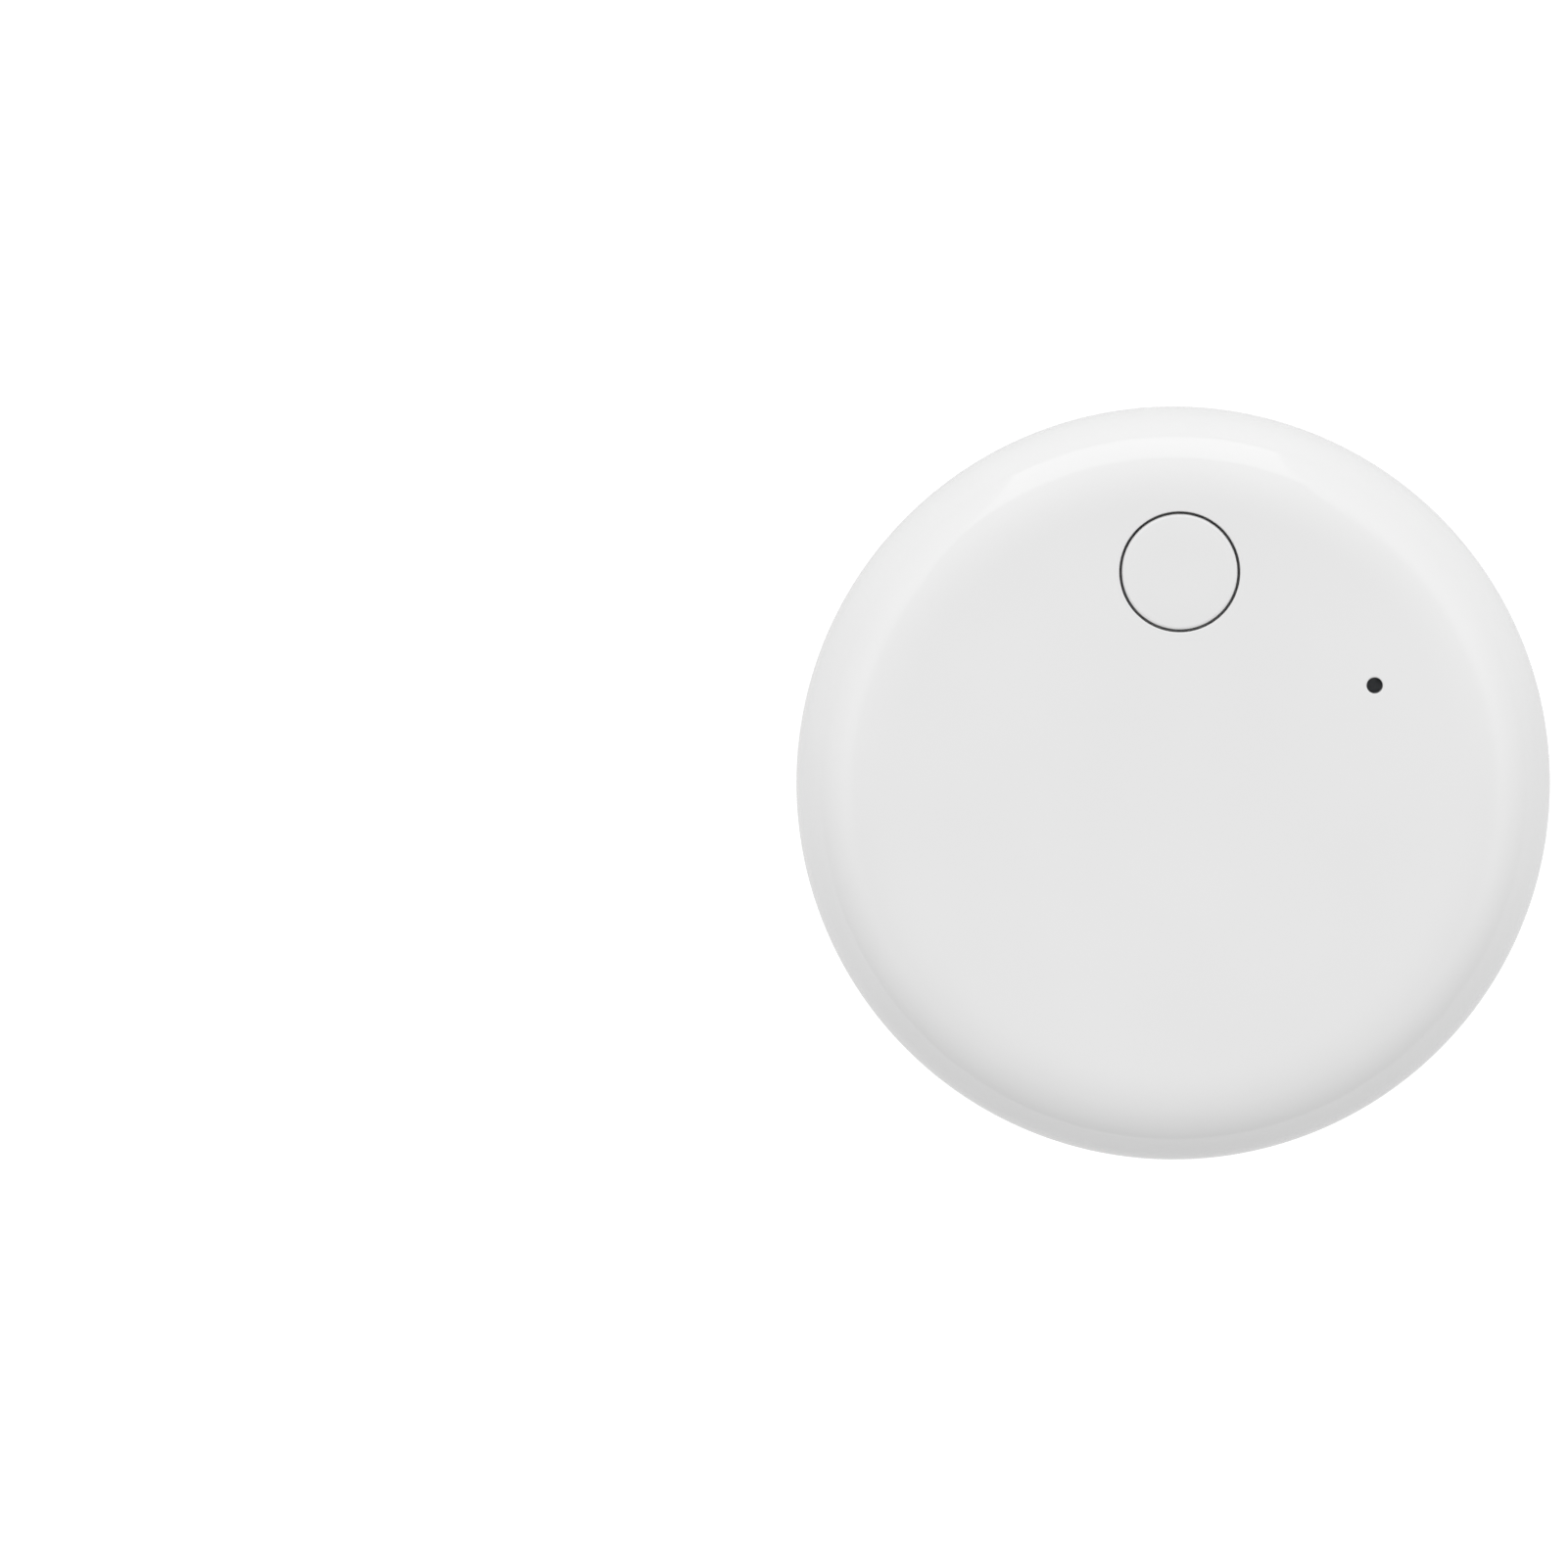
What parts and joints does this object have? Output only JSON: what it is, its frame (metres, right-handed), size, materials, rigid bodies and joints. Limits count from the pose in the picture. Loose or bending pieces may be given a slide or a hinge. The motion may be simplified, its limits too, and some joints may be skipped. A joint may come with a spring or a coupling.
{
  "type": "bluetooth tracker tag",
  "caption": "Round two-shell key-finder tag with a press button, a sound hole and a twist-off battery cover over a coin cell.",
  "frame": {"origin": "middle of the raised pad of the battery cover, which is the lowest face of the tag lying button up", "axes": "+Z out of the front face, +Y from the middle towards the button"},
  "size_m": [0.032, 0.032, 0.008],
  "materials": {
    "white_gloss_abs": "moulded, polished tool",
    "inner_moulding": "moulded, matt",
    "seal_silicone": "moulded silicone",
    "cell_steel": "nickel plated steel",
    "screw_steel": "plain steel",
    "crystal_can": "plated lid",
    "contact_spring": "nickel plated spring bronze",
    "cell_gasket_nylon": "moulded nylon",
    "glue_ring": "die-cut adhesive",
    "sounder_brass": "rolled brass",
    "piezo_ceramic": "silvered ceramic",
    "antenna_ceramic": "fired ceramic",
    "capacitor_ceramic": "fired ceramic with tinned ends",
    "board_laminate": "solder-masked glass laminate",
    "black_moulding": "moulded epoxy",
    "sound_mesh": "woven",
    "lead_red": "extruded insulation",
    "lead_black": "extruded insulation"
  },
  "bodies": {
    "case": {"front_shell": "white_gloss_abs", "rear_housing": "white_gloss_abs", "battery_tray": "inner_moulding", "case_screw_1": "screw_steel", "case_screw_2": "screw_steel", "case_screw_3": "screw_steel", "main_crystal": "crystal_can", "clock_crystal": "crystal_can", "negative_contact": "contact_spring", "positive_contact_1": "contact_spring", "positive_contact_2": "contact_spring", "sounder_glue_ring": "glue_ring", "sounder_plate": "sounder_brass", "sounder_ceramic": "piezo_ceramic", "chip_antenna": "antenna_ceramic", "bulk_capacitor_1": "capacitor_ceramic", "bulk_capacitor_2": "capacitor_ceramic", "capacitor_1": "capacitor_ceramic", "capacitor_2": "capacitor_ceramic", "capacitor_3": "capacitor_ceramic", "capacitor_4": "capacitor_ceramic", "capacitor_5": "capacitor_ceramic", "circuit_board": "board_laminate", "switch_body": "black_moulding", "bluetooth_chip": "black_moulding", "boost_inductor": "black_moulding", "sounder_driver": "black_moulding", "resistor_1": "black_moulding", "resistor_2": "black_moulding", "resistor_3": "black_moulding", "sound_hole_mesh": "sound_mesh", "sounder_lead_red": "lead_red", "sounder_lead_black": "lead_black"},
    "button": {"button_cap": "white_gloss_abs", "switch_plunger": "black_moulding"},
    "seal": {"cover_seal": "seal_silicone"},
    "cover": {"battery_cover": "white_gloss_abs", "cell_bumper": "seal_silicone"},
    "coin_cell": {"cell_can": "cell_steel", "cell_gasket": "cell_gasket_nylon", "cell_cap": "cell_steel"}
  },
  "joints": [
    {"name": "button_press", "type": "slide", "parent": "case", "child": "button", "axis": [0, 0, -1], "range_m": [0, 0.00025], "stiffness_N_per_m": 1000, "springref_m": -0.0015},
    {"name": "cover_lift", "type": "slide", "parent": "case", "child": "seal", "axis": [0, 0, -1], "range_m": [0, 0.012]},
    {"name": "cover_twist", "type": "hinge", "parent": "seal", "child": "cover", "pos_m": [0, 0, 0], "axis": [0, 0, 1], "range_deg": [0, 28]},
    {"name": "cell_out", "type": "slide", "parent": "case", "child": "coin_cell", "axis": [0, 0, -1], "range_m": [0, 0.0067]}
  ],
  "couplings": [
    {"joint": "cell_out", "follows": "cover_lift", "ratio": 0.55}
  ]
}
